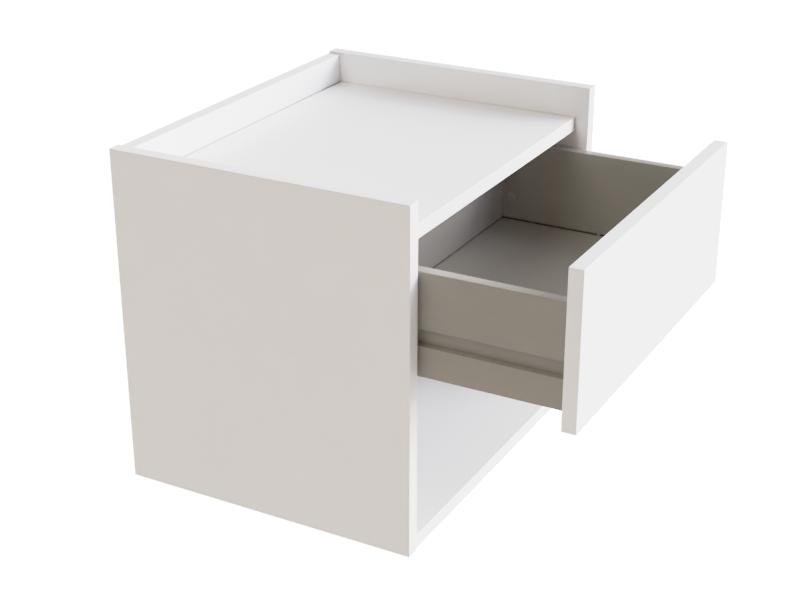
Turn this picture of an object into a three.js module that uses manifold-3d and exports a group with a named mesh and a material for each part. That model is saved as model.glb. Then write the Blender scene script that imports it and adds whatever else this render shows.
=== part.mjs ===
// Floating nightstand: a wall-hung cabinet with a recessed top tray, one inset
// drawer on plain groove runners and an open shelf below it.
//
// Frame: millimetres, +Z up, +X to the right for someone facing the front,
// front towards -Y. Origin on the wall plane, mid-width, at the height where the
// two hanger plates take their wall screws. The drawer is modelled partly open.
// Inside this file heights are first measured from the underside of the cabinet.
import * as THREE from 'three';
import * as BufferGeometryUtils from 'three/addons/utils/BufferGeometryUtils.js';
import Module from 'manifold-3d';

const wasm = await Module();
wasm.setup();

// ---------------------------------------------------------------- dimensions
const WIDTH = 460;             // over the side panels
const DEPTH = 355;             // wall plane to the front edges of the side panels
const HEIGHT = 390;            // side panels
const BOARD = 16;              // thickness of every cabinet board and the drawer front
const GAP = 0.3;               // clearance between pieces that touch
const HANG_Z = 350;            // underside of the cabinet to the hanging line

const SIDE_IN = WIDTH / 2 - BOARD;          // inner face of a side panel
const BACK_TOP = HEIGHT - 2.5;              // the back panel stops below the side tops
const TOP_SURFACE = 352.5;                  // tray surface of the top panel
const TOP_RECESS = 17;                      // front edge behind the side fronts
const BOTTOM_RECESS = 2;

const DRAWER_OPEN = 170;                    // how far the modelled drawer is pulled out
const FRONT_W = 423;                        // drawer front
const FRONT_Z0 = 180.5;
const FRONT_Z1 = 352;
const BOX_OUT = 210;                        // outer face of a drawer side, from the middle
const BOX_T = 13;                           // drawer side thickness
const BOX_BACK_T = 12;                      // drawer back thickness
const BOX_Z0 = 202;
const BOX_Z1 = 316;
const BOX_EDGE_OUT = 1;                     // rounding of the outer top edge
const BOX_EDGE_IN = 0.8;                    // rounding of the inner top edge
const GROOVE_Z0 = 236;                      // runner groove in a drawer side
const GROOVE_Z1 = 254.6;
const GROOVE_DEPTH = 7;
const FRONT_REAR = -(DEPTH + DRAWER_OPEN) + BOARD;    // rear face of the drawer front
const BACK_INNER = -255;                    // inner face of the drawer back
const FLOOR_TOP = 216.4;                    // upper surface of the drawer bottom
const FLOOR_T = 3;
const FLOOR_SLOT_Z0 = 213.1;
const FLOOR_SLOT_Z1 = 218.6;                // upper edge of the slot in the sides and the front
const FLOOR_SLOT_BACK_Z1 = 217.9;           // and in the drawer back
const FLOOR_SLOT_DEPTH = 6;

const RUNNER_LEN = 300;
const RUNNER_FRONT = -334;
const RUNNER_H = 17.5;
const RUNNER_IN = 203.5;                    // inner face of a runner, from the middle
const RUNNER_SCREW_Y = [-300, -70];
const PIN_Y = BACK_INNER - 11.6;            // stop pin in a drawer side
const PIN_TRAVEL = 45;                      // further travel until the pins meet the stops
const GROOVE_MID = (GROOVE_Z0 + GROOVE_Z1) / 2;

const CAM_R = 7.2;                          // cam of the cabinet joints
const CAM_BACKSET = 24;
const CAM_Y = [-298, -60];
const DOWEL_Z = [70, 310];
const BOX_CAM_R = 5.7;                      // cam of the drawer front joints
const BOX_CAM_BACKSET = 22;
const BOX_CAM_Z = [227, 292];
const BACK_SCREW_Z = [224, 296];

const HANGER_X = 165;
const HANGER_W = 60;
const HANGER_Z0 = 325;
const HANGER_Z1 = 363;
const HANGER_T = 1.8;
const HANGER_SCREW_DX = 22;
const KEYHOLE_DROP = 12;                    // round entry below the hanging line
const KEYHOLE_R = 5.3;
const KEYHOLE_SLOT = 2.8;                   // half width of the slot

// ---------------------------------------------------------------- materials
const white = () => new THREE.MeshStandardMaterial({ color: 0xe9e8e6, roughness: 0.45, metalness: 0 });
const greige = () => new THREE.MeshStandardMaterial({ color: 0x9d9488, roughness: 0.5, metalness: 0 });
const greyPlastic = () => new THREE.MeshStandardMaterial({ color: 0xb9b6b0, roughness: 0.55, metalness: 0 });
const greigePlastic = () => new THREE.MeshStandardMaterial({ color: 0x8e867b, roughness: 0.5, metalness: 0 });
const zinc = () => new THREE.MeshStandardMaterial({ color: 0xb4b6b8, roughness: 0.35, metalness: 0.9 });
const steel = () => new THREE.MeshStandardMaterial({ color: 0xc3c5c8, roughness: 0.3, metalness: 1 });
const beech = () => new THREE.MeshStandardMaterial({ color: 0xc9a577, roughness: 0.8, metalness: 0 });

// ---------------------------------------------------------------- solid helpers
function toSolid(geometry) {
  const g = geometry.clone();
  g.deleteAttribute('normal');
  g.deleteAttribute('uv');
  const m = BufferGeometryUtils.mergeVertices(g, 1e-4);
  const idx = m.index.array;
  const keep = [];
  for (let i = 0; i < idx.length; i += 3) {
    const [a, b, c] = [idx[i], idx[i + 1], idx[i + 2]];
    if (a !== b && b !== c && a !== c) keep.push(a, b, c);
  }
  return new wasm.Manifold(new wasm.Mesh({
    numProp: 3,
    vertProperties: new Float32Array(m.attributes.position.array),
    triVerts: new Uint32Array(keep),
  }));
}

function toGeometry(solid) {
  const mesh = solid.getMesh();
  const g = new THREE.BufferGeometry();
  g.setAttribute('position', new THREE.BufferAttribute(new Float32Array(mesh.vertProperties), 3));
  g.setIndex(new THREE.BufferAttribute(new Uint32Array(mesh.triVerts), 1));
  return g;
}

function cut(base, ...tools) {
  let s = toSolid(base);
  for (const t of tools) s = s.subtract(toSolid(t));
  return toGeometry(s);
}

function mirrored(geometry) {
  const g = geometry.clone();
  g.deleteAttribute('normal');
  g.deleteAttribute('uv');
  const m = g.index ? g : BufferGeometryUtils.mergeVertices(g, 1e-4);
  const p = m.attributes.position.array;
  for (let i = 0; i < p.length; i += 3) p[i] = -p[i];
  const idx = m.index.array;
  for (let i = 0; i < idx.length; i += 3) [idx[i + 1], idx[i + 2]] = [idx[i + 2], idx[i + 1]];
  return m;
}

// a box given by its lowest and highest corners
function box(x0, x1, y0, y1, z0, z1) {
  const g = new THREE.BoxGeometry(x1 - x0, y1 - y0, z1 - z0);
  g.translate((x0 + x1) / 2, (y0 + y1) / 2, (z0 + z1) / 2);
  return g;
}

// round bars along the three axes; r may be a pair for a cone (r at a, r at b)
function rod(axis, a, b, u, v, r, seg = 12) {
  const [ra, rb] = Array.isArray(r) ? r : [r, r];
  const g = new THREE.CylinderGeometry(rb, ra, b - a, seg);
  g.translate(0, (a + b) / 2, 0);
  if (axis === 'x') { g.rotateZ(-Math.PI / 2); g.translate(0, u, v); }
  if (axis === 'y') { g.translate(u, 0, v); }
  if (axis === 'z') { g.rotateX(Math.PI / 2); g.translate(u, v, 0); }
  return g;
}

// a turned piece: points are [distance along the axis, radius], ends on the axis
function turned(axis, points, u, v, seg = 10) {
  const profile = points.map(([d, r]) => new THREE.Vector2(r, d));
  const g = new THREE.LatheGeometry(profile, seg);
  if (axis === 'x') { g.rotateZ(-Math.PI / 2); g.translate(0, u, v); }
  if (axis === 'y') { g.translate(u, 0, v); }
  return toGeometry(toSolid(g));
}

// a bar with a constant section; the outline is [x, z] pairs, run from y0 to y1
function barAlongY(outline, y0, y1) {
  const s = new THREE.Shape(outline.map(([x, z]) => new THREE.Vector2(x, z)));
  const g = new THREE.ExtrudeGeometry(s, { depth: y1 - y0, bevelEnabled: false, steps: 1 });
  g.rotateX(Math.PI / 2);          // z of the outline stays up, the run goes to -Y
  g.translate(0, y1, 0);
  return g;
}

// the same along X, with an outline of [y, z] pairs
function barAlongX(outline, x0, x1) {
  const s = new THREE.Shape(outline.map(([y, z]) => new THREE.Vector2(y, z)));
  const g = new THREE.ExtrudeGeometry(s, { depth: x1 - x0, bevelEnabled: false, steps: 1 });
  g.rotateX(Math.PI / 2);
  g.rotateZ(Math.PI / 2);
  g.translate(x0, 0, 0);
  return g;
}

function arc(cu, cv, r, from, to, n) {
  const out = [];
  for (let i = 0; i <= n; i++) {
    const t = ((from + (to - from) * (i / n)) * Math.PI) / 180;
    out.push([cu + r * Math.cos(t), cv + r * Math.sin(t)]);
  }
  return out;
}

// ---------------------------------------------------------------- the assembly
const group = new THREE.Group();
const cabinet = new THREE.Group();
const drawer = new THREE.Group();
group.add(cabinet, drawer);
group.position.z = -HANG_Z;

function add(parent, name, geometry, material) {
  geometry.computeVertexNormals();
  const mesh = new THREE.Mesh(geometry, material);
  mesh.name = name;
  parent.add(mesh);
}
// a piece and its mirror image on the other side
function addPair(parent, stem, geometry, material) {
  add(parent, `${stem}_left`, geometry, material());
  add(parent, `${stem}_right`, mirrored(geometry), material());
}

// side panels: drilled on the inside for bolts, dowels and runner screws
const boltZ = [BOARD / 2, TOP_SURFACE - BOARD / 2];
const sideDrill = [];
for (const z of boltZ) for (const y of CAM_Y) sideDrill.push(rod('x', -SIDE_IN - 11, -SIDE_IN + 1, y, z, 2.7));
for (const z of DOWEL_Z) sideDrill.push(rod('x', -SIDE_IN - 10.5, -SIDE_IN + 1, -BOARD / 2, z, 4.3));
for (const y of RUNNER_SCREW_Y) sideDrill.push(rod('x', -SIDE_IN - 11.6, -SIDE_IN + 1, y, GROOVE_MID, 2.1));
addPair(cabinet, 'side_panel', cut(box(-WIDTH / 2, -SIDE_IN, -DEPTH, 0, 0, HEIGHT), ...sideDrill), white);

// top and bottom panels: cam pockets from below, bolt drillings from the ends
const END = SIDE_IN - GAP;
function shelfDrill(under) {
  const tools = [];
  for (const s of [-1, 1]) for (const y of CAM_Y) {
    tools.push(rod('z', under - 1, under + 12.8, s * (END - CAM_BACKSET), y, 7.6, 20));
    const x0 = END - CAM_BACKSET;
    tools.push(s < 0 ? rod('x', -END - 1, -x0, y, under + BOARD / 2, 4) : rod('x', x0, END + 1, y, under + BOARD / 2, 4));
  }
  return tools;
}
const TOP_UNDER = TOP_SURFACE - BOARD;
add(cabinet, 'top_panel', cut(box(-END, END, -DEPTH + TOP_RECESS, -BOARD - GAP, TOP_UNDER, TOP_SURFACE), ...shelfDrill(TOP_UNDER)), white());
add(cabinet, 'bottom_panel', cut(box(-END, END, -DEPTH + BOTTOM_RECESS, -BOARD - GAP, 0, BOARD), ...shelfDrill(0)), white());

// cams and bolts that pull the side panels against the top and bottom panels
function cabinetCam(y, under) {
  const x = -(END - CAM_BACKSET);
  const z = under + BOARD / 2;
  return cut(
    rod('z', under + GAP, under + 12.3, x, y, CAM_R, 20),
    rod('x', x - 1.4, x + 2.6, y, z, 3.7, 10),
    rod('x', x - 9, x - 1, y, z, 2.1, 10),
    box(x - 3.6, x + 3.6, y - 0.7, y + 0.7, under - 1, under + 2.3),
    box(x - 0.7, x + 0.7, y - 3.6, y + 3.6, under - 1, under + 2.3),
  );
}
function cabinetBolt(y, under) {
  const c = -(END - CAM_BACKSET);
  return turned('x', [
    [-SIDE_IN - 10.6, 0], [-SIDE_IN - 10.6, 1.6], [-SIDE_IN - 9.4, 2.4], [-SIDE_IN, 2.4],
    [-SIDE_IN + 0.2, 3.4], [-SIDE_IN + 1.8, 3.4], [-SIDE_IN + 2, 2.2],
    [c - 8.4, 2.2], [c - 8.2, 1.6], [c - 0.9, 1.6], [c - 0.8, 3.1], [c + 1.8, 3.1], [c + 2.2, 2], [c + 2.2, 0],
  ], y, under + BOARD / 2);
}
for (const [stem, under] of [['top', TOP_UNDER], ['bottom', 0]]) {
  CAM_Y.forEach((y, i) => {
    const at = i === 0 ? 'front' : 'rear';
    addPair(cabinet, `${stem}_cam_${at}`, cabinetCam(y, under), zinc);
    addPair(cabinet, `${stem}_bolt_${at}`, cabinetBolt(y, under), steel);
  });
}

// back panel: full height, dowelled into the side panels, with let-in hangers
const backTools = [];
for (const z of DOWEL_Z) {
  backTools.push(rod('x', -END - 1, -END + 20.5, -BOARD / 2, z, 4.3));
  backTools.push(rod('x', END - 20.5, END + 1, -BOARD / 2, z, 4.3));
}
for (const s of [-1, 1]) {
  const x = s * HANGER_X;
  backTools.push(box(x - HANGER_W / 2 - 0.5, x + HANGER_W / 2 + 0.5, -2.3, 1, HANGER_Z0 - 0.5, HANGER_Z1 + 0.5));
  backTools.push(box(x - 9, x + 9, -12, 1, HANG_Z - KEYHOLE_DROP - 7, HANG_Z + 7));
  for (const d of [-1, 1]) backTools.push(rod('y', -14, 1, x + d * HANGER_SCREW_DX, (HANGER_Z0 + HANGER_Z1) / 2, 1.9, 10));
}
add(cabinet, 'back_panel', cut(box(-END, END, -BOARD, 0, 0, BACK_TOP), ...backTools), white());
DOWEL_Z.forEach((z, i) => {
  const c = [[-SIDE_IN - 10, 0], [-SIDE_IN - 10, 3.2], [-SIDE_IN - 9, 4], [-SIDE_IN + 19, 4], [-SIDE_IN + 20, 3.2], [-SIDE_IN + 20, 0]];
  addPair(cabinet, `back_dowel_${i === 0 ? 'lower' : 'upper'}`, turned('x', c, -BOARD / 2, z, 12), beech);
});

// hanger plates with a keyhole, each held by two countersunk screws
function hangerPlate() {
  const x = -HANGER_X;
  const x0 = x - HANGER_W / 2, x1 = x + HANGER_W / 2, r = 5;
  const outline = [
    ...arc(x1 - r, HANGER_Z1 - r, r, 0, 90, 4), ...arc(x0 + r, HANGER_Z1 - r, r, 90, 180, 4),
    ...arc(x0 + r, HANGER_Z0 + r, r, 180, 270, 4), ...arc(x1 - r, HANGER_Z0 + r, r, 270, 360, 4),
  ];
  const entry = HANG_Z - KEYHOLE_DROP;
  const zs = (HANGER_Z0 + HANGER_Z1) / 2;
  const tools = [
    rod('y', -5, 2, x, entry, KEYHOLE_R, 20),
    box(x - KEYHOLE_SLOT, x + KEYHOLE_SLOT, -5, 2, entry, HANG_Z),
    rod('y', -5, 2, x, HANG_Z, KEYHOLE_SLOT, 16),
  ];
  for (const d of [-1, 1]) {
    tools.push(rod('y', -5, 2, x + d * HANGER_SCREW_DX, zs, 1.9, 12));
    tools.push(rod('y', -HANGER_T - 0.21, -0.19, x + d * HANGER_SCREW_DX, zs, [1.9, 3.7], 12));
  }
  return cut(barAlongY(outline, -HANGER_T - 0.2, -0.2), ...tools);
}
addPair(cabinet, 'hanger_plate', hangerPlate(), steel);
for (const [at, d] of [['outer', -1], ['inner', 1]]) {
  const screw = turned('y', [
    [-13.6, 0], [-12, 1.4], [-2.2, 1.4], [-0.45, 3.15], [-0.3, 3.15], [-0.3, 0],
  ], -HANGER_X + d * HANGER_SCREW_DX, (HANGER_Z0 + HANGER_Z1) / 2, 12);
  addPair(cabinet, `hanger_screw_${at}`, screw, steel);
}

// runners: plain strips that the drawer grooves slide on, with a stop channel
const RUNNER_Z1 = GROOVE_Z1 - GAP;
const RUNNER_REAR = RUNNER_FRONT + RUNNER_LEN;
const STOP_Y = PIN_Y - PIN_TRAVEL - 2.8 - GAP;
const runnerTools = [box(-RUNNER_IN - 3.1, -RUNNER_IN + 1, STOP_Y, RUNNER_REAR + 1, GROOVE_MID - 3.6, GROOVE_MID + 3.6)];
for (const y of RUNNER_SCREW_Y) {
  runnerTools.push(rod('x', -SIDE_IN - 1, -RUNNER_IN, y, GROOVE_MID, 2.1));
  runnerTools.push(rod('x', -RUNNER_IN - 5.6, -RUNNER_IN - 3.05, y, GROOVE_MID, [2, 3.5]));
}
const runnerOutline = [
  [-SIDE_IN + GAP, RUNNER_Z1 - RUNNER_H], [-RUNNER_IN - 1, RUNNER_Z1 - RUNNER_H], [-RUNNER_IN, RUNNER_Z1 - RUNNER_H + 1],
  [-RUNNER_IN, RUNNER_Z1 - 1], [-RUNNER_IN - 1, RUNNER_Z1], [-SIDE_IN + GAP, RUNNER_Z1],
];
addPair(cabinet, 'runner', cut(barAlongY(runnerOutline, RUNNER_FRONT, RUNNER_REAR), ...runnerTools), greyPlastic);
RUNNER_SCREW_Y.forEach((y, i) => {
  const screw = turned('x', [
    [-SIDE_IN - 11.2, 0], [-SIDE_IN - 9.4, 1.7], [-RUNNER_IN - 5.6, 1.7],
    [-RUNNER_IN - 3.7, 3], [-RUNNER_IN - 3.4, 3], [-RUNNER_IN - 3.4, 0],
  ], y, GROOVE_MID, 12);
  addPair(cabinet, `runner_screw_${i === 0 ? 'front' : 'rear'}`, screw, steel);
});

// drawer front: plain slab, drilled and slotted on its rear face
const OUTER_FACE = FRONT_REAR - BOARD;
const BOX_MID = BOX_OUT - BOX_T / 2;
const frontTools = [box(-BOX_OUT + GROOVE_DEPTH - GAP, BOX_OUT - GROOVE_DEPTH + GAP, FRONT_REAR - FLOOR_SLOT_DEPTH, FRONT_REAR + 1, FLOOR_SLOT_Z0, FLOOR_SLOT_Z1)];
for (const s of [-1, 1]) for (const z of BOX_CAM_Z) frontTools.push(rod('y', FRONT_REAR - 11, FRONT_REAR + 1, s * BOX_MID, z, 2.7));
add(drawer, 'drawer_front', cut(box(-FRONT_W / 2, FRONT_W / 2, OUTER_FACE, FRONT_REAR, FRONT_Z0, FRONT_Z1), ...frontTools), white());

// drawer sides: wrapped board with soft top edges, a runner groove outside and
// a slot for the bottom inside
const BOX_IN = BOX_OUT - BOX_T;
const BOX_FRONT = FRONT_REAR + GAP;
const BOX_REAR = BACK_INNER + BOX_BACK_T;
const sideOutline = [
  [-BOX_OUT, BOX_Z0 + 1], [-BOX_OUT + 1, BOX_Z0], [-BOX_IN - 1, BOX_Z0], [-BOX_IN, BOX_Z0 + 1],
  [-BOX_IN, FLOOR_SLOT_Z0], [-BOX_IN - FLOOR_SLOT_DEPTH, FLOOR_SLOT_Z0], [-BOX_IN - FLOOR_SLOT_DEPTH, FLOOR_SLOT_Z1], [-BOX_IN, FLOOR_SLOT_Z1],
  ...arc(-BOX_IN - BOX_EDGE_IN, BOX_Z1 - BOX_EDGE_IN, BOX_EDGE_IN, 0, 90, 3),
  ...arc(-BOX_OUT + BOX_EDGE_OUT, BOX_Z1 - BOX_EDGE_OUT, BOX_EDGE_OUT, 90, 180, 4),
  [-BOX_OUT, GROOVE_Z1], [-BOX_OUT + GROOVE_DEPTH, GROOVE_Z1], [-BOX_OUT + GROOVE_DEPTH, GROOVE_Z0], [-BOX_OUT, GROOVE_Z0],
];
const CAM_POS_Y = FRONT_REAR + BOX_CAM_BACKSET;
const boxTools = [rod('x', -BOX_OUT - 1, -BOX_IN + 1, PIN_Y, GROOVE_MID, 3.1)];
for (const z of BOX_CAM_Z) {
  boxTools.push(rod('y', BOX_FRONT - 1, CAM_POS_Y, -BOX_MID, z, 3.5));
  boxTools.push(rod('x', -BOX_IN - 10.6, -BOX_IN + 1, CAM_POS_Y, z, 6.1, 16));
}
for (const z of BACK_SCREW_Z) {
  boxTools.push(rod('x', -BOX_OUT - 1, -BOX_IN + 1, BOX_REAR - BOX_BACK_T / 2, z, 2));
  boxTools.push(rod('x', -BOX_OUT - 0.01, -BOX_OUT + 2.6, BOX_REAR - BOX_BACK_T / 2, z, [3.9, 2]));
}
addPair(drawer, 'drawer_side', cut(barAlongY(sideOutline, BOX_FRONT, BOX_REAR), ...boxTools), greige);

// drawer back, between the sides
const backOutline = [
  [BACK_INNER, BOX_Z0 + 1], [BACK_INNER + 1, BOX_Z0], [BOX_REAR - 1, BOX_Z0], [BOX_REAR, BOX_Z0 + 1],
  ...arc(BOX_REAR - BOX_EDGE_IN, BOX_Z1 - BOX_EDGE_IN, BOX_EDGE_IN, 0, 90, 3),
  ...arc(BACK_INNER + BOX_EDGE_IN, BOX_Z1 - BOX_EDGE_IN, BOX_EDGE_IN, 90, 180, 3),
  [BACK_INNER, FLOOR_SLOT_BACK_Z1], [BACK_INNER + FLOOR_SLOT_DEPTH, FLOOR_SLOT_BACK_Z1],
  [BACK_INNER + FLOOR_SLOT_DEPTH, FLOOR_SLOT_Z0], [BACK_INNER, FLOOR_SLOT_Z0],
];
const BACK_HALF = BOX_IN - GAP;
const drawerBackTools = [];
for (const z of BACK_SCREW_Z) {
  drawerBackTools.push(rod('x', -BACK_HALF - 1, -BACK_HALF + 17, BOX_REAR - BOX_BACK_T / 2, z, 1.8, 10));
  drawerBackTools.push(rod('x', BACK_HALF - 17, BACK_HALF + 1, BOX_REAR - BOX_BACK_T / 2, z, 1.8, 10));
}
add(drawer, 'drawer_back', cut(barAlongX(backOutline, -BACK_HALF, BACK_HALF), ...drawerBackTools), greige());

// drawer bottom, held in the slots
add(drawer, 'drawer_bottom', box(
  -BOX_OUT + GROOVE_DEPTH + 0.4, BOX_OUT - GROOVE_DEPTH - 0.4,
  FRONT_REAR - FLOOR_SLOT_DEPTH + 0.4, BACK_INNER + FLOOR_SLOT_DEPTH - 0.4, FLOOR_TOP - FLOOR_T, FLOOR_TOP,
), greige());

// cams and bolts between the drawer sides and the drawer front
BOX_CAM_Z.forEach((z, i) => {
  const at = i === 0 ? 'lower' : 'upper';
  const cam = cut(
    rod('x', -BOX_IN - 10.2, -BOX_IN - GAP, CAM_POS_Y, z, BOX_CAM_R, 16),
    rod('y', CAM_POS_Y - 1.4, CAM_POS_Y + 2, -BOX_MID, z, 3.1, 10),
    rod('y', CAM_POS_Y - 8, CAM_POS_Y - 1, -BOX_MID, z, 1.8, 10),
    box(-BOX_IN - 2.2, -BOX_IN + 1, CAM_POS_Y - 3, CAM_POS_Y + 3, z - 0.6, z + 0.6),
    box(-BOX_IN - 2.2, -BOX_IN + 1, CAM_POS_Y - 0.6, CAM_POS_Y + 0.6, z - 3, z + 3),
  );
  addPair(drawer, `drawer_cam_${at}`, cam, zinc);
  const bolt = turned('y', [
    [FRONT_REAR - 10.6, 0], [FRONT_REAR - 10.6, 1.6], [FRONT_REAR - 9.4, 2.4], [FRONT_REAR + 0.3, 2.4],
    [FRONT_REAR + 0.5, 3], [FRONT_REAR + 1.8, 3], [FRONT_REAR + 2, 2],
    [CAM_POS_Y - 6.6, 2], [CAM_POS_Y - 6.4, 1.35], [CAM_POS_Y - 1, 1.35], [CAM_POS_Y - 0.9, 2.6],
    [CAM_POS_Y + 1.2, 2.6], [CAM_POS_Y + 1.5, 1.8], [CAM_POS_Y + 1.5, 0],
  ], -BOX_MID, z);
  addPair(drawer, `drawer_bolt_${at}`, bolt, steel);
});

// countersunk screws through the drawer sides into the drawer back
BACK_SCREW_Z.forEach((z, i) => {
  const screw = turned('x', [
    [-BOX_OUT + 0.4, 0], [-BOX_OUT + 0.4, 3.2], [-BOX_OUT + 0.6, 3.2], [-BOX_OUT + 2.6, 1.4],
    [-BACK_HALF + 14.5, 1.4], [-BACK_HALF + 16.5, 0],
  ], BOX_REAR - BOX_BACK_T / 2, z, 12);
  addPair(drawer, `drawer_back_screw_${i === 0 ? 'lower' : 'upper'}`, screw, steel);
});

// stop pins: a domed head inside the drawer, a shank that reaches into the runner channel
addPair(drawer, 'drawer_stop_pin', turned('x', [
  [-BOX_OUT + 4, 0], [-BOX_OUT + 4, 2.8], [-BOX_IN + GAP, 2.8], [-BOX_IN + GAP, 5.5], [-BOX_IN + 0.9, 5.5],
  [-BOX_IN + 1.6, 4.6], [-BOX_IN + 2.1, 2.8], [-BOX_IN + 2.3, 0],
], PIN_Y, GROOVE_MID, 16), greigePlastic);

// wedges that press the drawer bottom down in its side slots
addPair(drawer, 'drawer_bottom_wedge', barAlongY([
  [-BOX_IN - 5.4, FLOOR_TOP + GAP], [-BOX_IN + 1.4, FLOOR_TOP + GAP], [-BOX_IN + 1.4, FLOOR_TOP + 2.2],
  [-BOX_IN + 0.9, FLOOR_TOP + 2.9], [-BOX_IN + 0.3, FLOOR_TOP + 2.9], [-BOX_IN + 0.3, FLOOR_TOP + 1.8],
  [-BOX_IN - 5.4, FLOOR_TOP + 1.2],
], -384, -381), greigePlastic);

export default group;
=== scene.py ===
"""Floating nightstand: the looks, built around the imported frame.

Lengths in the helpers are in millimetres, with heights measured from the underside of the
cabinet, as a joiner would read them; put() brings a mesh into the frame (metres, the wall
plane at y = 0, the hanging line at z = 0).
"""
import math

import bmesh
import bpy
from mathutils import Matrix, Vector


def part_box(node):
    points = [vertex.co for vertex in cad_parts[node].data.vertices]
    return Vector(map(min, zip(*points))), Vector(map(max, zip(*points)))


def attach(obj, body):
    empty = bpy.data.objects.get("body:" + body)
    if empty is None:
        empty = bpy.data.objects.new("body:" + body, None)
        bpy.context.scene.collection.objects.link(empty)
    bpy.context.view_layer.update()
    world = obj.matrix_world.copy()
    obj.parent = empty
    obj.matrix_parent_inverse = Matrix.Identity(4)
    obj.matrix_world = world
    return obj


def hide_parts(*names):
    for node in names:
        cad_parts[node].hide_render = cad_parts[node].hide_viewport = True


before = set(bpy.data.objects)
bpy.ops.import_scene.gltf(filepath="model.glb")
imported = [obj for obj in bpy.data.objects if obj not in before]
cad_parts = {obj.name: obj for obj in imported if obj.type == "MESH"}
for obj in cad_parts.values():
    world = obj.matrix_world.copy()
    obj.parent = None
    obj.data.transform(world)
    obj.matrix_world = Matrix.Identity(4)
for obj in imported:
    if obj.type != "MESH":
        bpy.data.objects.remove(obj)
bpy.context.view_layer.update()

SCENE = bpy.context.scene
UNDERSIDE = -0.350                      # the underside of the cabinet, in the frame

# ---------------------------------------------------------------- dimensions, mm
SIDE_IN = 214.0
END = 213.7
FRONT_REAR = -509.0
BOX_OUT, BOX_IN = 210.0, 197.0
BOX_Z0, BOX_Z1 = 202.0, 316.0
BOX_FRONT, BOX_REAR = -508.7, -243.0
BACK_INNER = -255.0
GROOVE_Z0, GROOVE_Z1, GROOVE_D = 236.0, 254.6, 7.0
GROOVE_MID = (GROOVE_Z0 + GROOVE_Z1) / 2
SLOT_Z0, SLOT_Z1, SLOT_BACK_Z1, SLOT_D = 213.1, 218.6, 217.9, 6.0
FLOOR_TOP = 216.4
PIN_Y = -266.6
RUNNER_IN = 203.5
RUNNER_Z1 = GROOVE_Z1 - 0.3
RUNNER_Z0 = RUNNER_Z1 - 17.5
RUNNER_Y0, RUNNER_Y1 = -334.0, -34.0
RUNNER_SCREWS = (-300.0, -70.0)
CAM_X = END - 24.0
CAM_Y = (-298.0, -60.0)
BOX_MID = BOX_OUT - 6.5
BOX_CAM_Y = FRONT_REAR + 22.0
BOX_CAM_Z = (227.0, 292.0)
BACK_SCREW_Y, BACK_SCREW_Z = -249.0, (224.0, 296.0)
HANGER_X, HANGER_Z0, HANGER_Z1, HANGER_DX = 165.0, 325.0, 363.0, 22.0
HANG_Z = 350.0

BAND_R = 0.6                            # rounding of the banded board edges
RAW_R = 0.22                            # arris of an edge that meets another board


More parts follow.
